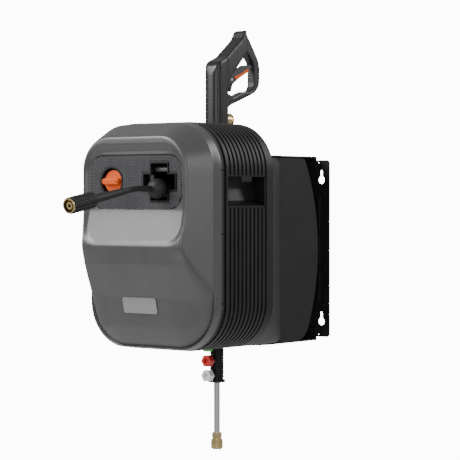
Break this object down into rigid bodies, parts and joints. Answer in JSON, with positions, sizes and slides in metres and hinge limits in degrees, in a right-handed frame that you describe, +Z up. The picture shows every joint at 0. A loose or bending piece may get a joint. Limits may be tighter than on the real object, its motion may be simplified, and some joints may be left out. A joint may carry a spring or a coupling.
{
  "type": "pressure washer",
  "caption": "Wall-mounted pressure washer on a swivel bracket, with a hose reel behind a roller gate, a trigger gun with its wand, and spare nozzles held on the wand.",
  "frame": {"origin": "centre of the wall plate's back face", "axes": "+Z up, +X to the right of someone facing the machine, +Y into the wall; the front faces -Y"},
  "size_m": [0.312, 0.7524, 0.859],
  "materials": {
    "black_steel": "satin powder coat",
    "shell_dark": "fine grain",
    "cover_grey": "metallic grey, satin",
    "grille_dark": "woven diamond texture",
    "orange": "satin",
    "black_plastic": "satin",
    "roller_grey": "smooth",
    "rubber_black": "matt",
    "hose_black": "satin",
    "brass": "turned",
    "steel": "brushed",
    "zinc_screw": "zinc plated",
    "silver_plate": "brushed",
    "gun_dark": "fine grain",
    "trigger_grey": "satin",
    "green": "satin",
    "red": "satin",
    "white": "satin",
    "reel_grey": "moulded",
    "motor_grey": "cast and painted"
  },
  "bodies": {
    "bracket": {"wall_plate": "black_steel", "plate_rail": "black_steel", "upper_arm": "black_steel", "lower_arm": "black_steel", "pivot_pins": "steel"},
    "housing": {"pivot_bushes": "black_plastic", "rear_shell": "shell_dark", "mid_shell_right": "shell_dark", "mid_shell_left": "shell_dark", "handle_cup_right": "black_plastic", "handle_cup_left": "black_plastic", "front_cover": "cover_grey", "cover_screws": "zinc_screw", "grille_panel": "grille_dark", "name_plate": "silver_plate", "knob_cup": "black_plastic", "gate_frame": "black_plastic", "roller_pins": "steel", "reel_axle": "steel", "reel_frame": "black_steel", "spring_cassette": "black_plastic", "reel_swivel": "brass", "pump_cradle": "black_steel", "motor": "motor_grey", "pump": "brass", "feed_pipe": "hose_black", "water_inlet": "brass", "cord_gland": "black_plastic", "wand_clips": "black_plastic", "gun_rest": "black_plastic"},
    "knob": {"knob": "orange"},
    "roller_top": {"roller_top": "roller_grey"},
    "roller_bottom": {"roller_bottom": "roller_grey"},
    "roller_left": {"roller_left": "roller_grey"},
    "roller_right": {"roller_right": "roller_grey"},
    "reel": {"reel_drum": "reel_grey", "hose_pack": "hose_black"},
    "hose": {"hose_run": "hose_black", "ball_half_right": "rubber_black", "ball_half_left": "rubber_black", "ball_screws": "zinc_screw", "hose_boot": "rubber_black", "hose_stem": "brass"},
    "hand_nut": {"hand_nut": "black_plastic", "nut_sleeve": "brass"},
    "gun": {"gun_shell_right": "gun_dark", "gun_shell_left": "gun_dark", "trigger_guard": "gun_dark", "gun_inlet": "brass", "trigger_pin": "steel", "wand_tube": "steel", "nozzle_holder": "black_plastic", "coupler_body": "brass"},
    "trigger": {"trigger": "trigger_grey"},
    "trigger_lock": {"trigger_lock": "orange"},
    "coupler_collar": {"coupler_collar": "brass"},
    "nozzle_green": {"nozzle_green": "green"},
    "nozzle_red": {"nozzle_red": "red"},
    "nozzle_white": {"nozzle_white": "white"}
  },
  "joints": [
    {"name": "swivel", "type": "hinge", "parent": "bracket", "child": "housing", "pos_m": [0, -0.162, 0], "axis": [0, 0, 1], "range_deg": [0, 90]},
    {"name": "switch_turn", "type": "hinge", "parent": "housing", "child": "knob", "pos_m": [-0.0585, -0.5, 0.1337], "axis": [0, -1, 0], "range_deg": [-90, 0]},
    {"name": "roller_top_spin", "type": "hinge", "parent": "housing", "child": "roller_top", "pos_m": [0.0585, -0.489, 0.1554], "axis": [1, 0, 0], "continuous": true},
    {"name": "roller_bottom_spin", "type": "hinge", "parent": "housing", "child": "roller_bottom", "pos_m": [0.0585, -0.489, 0.1086], "axis": [1, 0, 0], "continuous": true},
    {"name": "roller_left_spin", "type": "hinge", "parent": "housing", "child": "roller_left", "pos_m": [0.027, -0.489, 0.132], "axis": [0, 0, 1], "continuous": true},
    {"name": "roller_right_spin", "type": "hinge", "parent": "housing", "child": "roller_right", "pos_m": [0.09, -0.489, 0.132], "axis": [0, 0, 1], "continuous": true},
    {"name": "hose_pull", "type": "slide", "parent": "housing", "child": "hose", "axis": [0, -1, 0], "range_m": [0, 0.12]},
    {"name": "reel_spin", "type": "hinge", "parent": "housing", "child": "reel", "pos_m": [0, -0.365, 0.02], "axis": [1, 0, 0], "range_deg": [-5, 80]},
    {"name": "hand_nut_spin", "type": "hinge", "parent": "hose", "child": "hand_nut", "pos_m": [0.0587, -0.72047, 0.09387], "axis": [0, -0.9842, -0.1771], "continuous": true},
    {"name": "gun_take_off", "type": "slide", "parent": "housing", "child": "gun", "axis": [-1, 0, 0], "range_m": [0, 0.1]},
    {"name": "trigger_squeeze", "type": "hinge", "parent": "gun", "child": "trigger", "pos_m": [-0.0985, -0.108, 0.345], "axis": [1, 0, 0], "range_deg": [0, 9], "stiffness_Nm_per_rad": 1.5, "springref_deg": -8.59},
    {"name": "trigger_lock_turn", "type": "hinge", "parent": "trigger", "child": "trigger_lock", "pos_m": [-0.0985, -0.086, 0.351], "axis": [1, 0, 0], "range_deg": [-20, 0]},
    {"name": "coupler_collar_slide", "type": "slide", "parent": "gun", "child": "coupler_collar", "axis": [0, 0, 1], "range_m": [0, 0.003], "stiffness_N_per_m": 800, "springref_m": -0.003},
    {"name": "nozzle_green_pull", "type": "slide", "parent": "gun", "child": "nozzle_green", "axis": [0, -1, 0], "range_m": [0, 0.03]},
    {"name": "nozzle_red_pull", "type": "slide", "parent": "gun", "child": "nozzle_red", "axis": [0, -1, 0], "range_m": [0, 0.03]},
    {"name": "nozzle_white_pull", "type": "slide", "parent": "gun", "child": "nozzle_white", "axis": [0, -1, 0], "range_m": [0, 0.03]}
  ],
  "couplings": [
    {"joint": "reel_spin", "follows": "hose_pull", "rad_per_m": 10.04}
  ]
}
